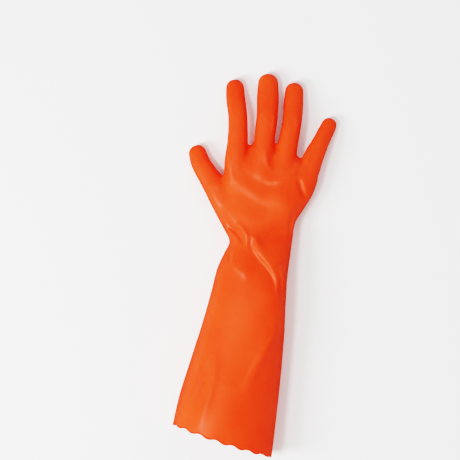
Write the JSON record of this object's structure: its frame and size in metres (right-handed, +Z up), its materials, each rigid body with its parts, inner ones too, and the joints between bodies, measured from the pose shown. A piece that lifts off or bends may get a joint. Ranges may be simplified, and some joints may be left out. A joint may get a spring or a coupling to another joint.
{
  "type": "chemical-resistant rubber gauntlet glove",
  "caption": "Long right-hand gauntlet glove of thick dipped rubber, hollow, lying palm down, with a flared cuff and a scalloped hem.",
  "frame": {"origin": "on the floor under the middle of the glove's bounding box", "axes": "+Y from the hem to the fingertips, +Z up through the back of the hand, +X towards the little finger"},
  "size_m": [0.1734, 0.4604, 0.086],
  "materials": {
    "orange_rubber": "glossy orange dipped rubber, matte inside"
  },
  "bodies": {
    "root": {"glove_shell": "orange_rubber"}
  },
  "joints": []
}
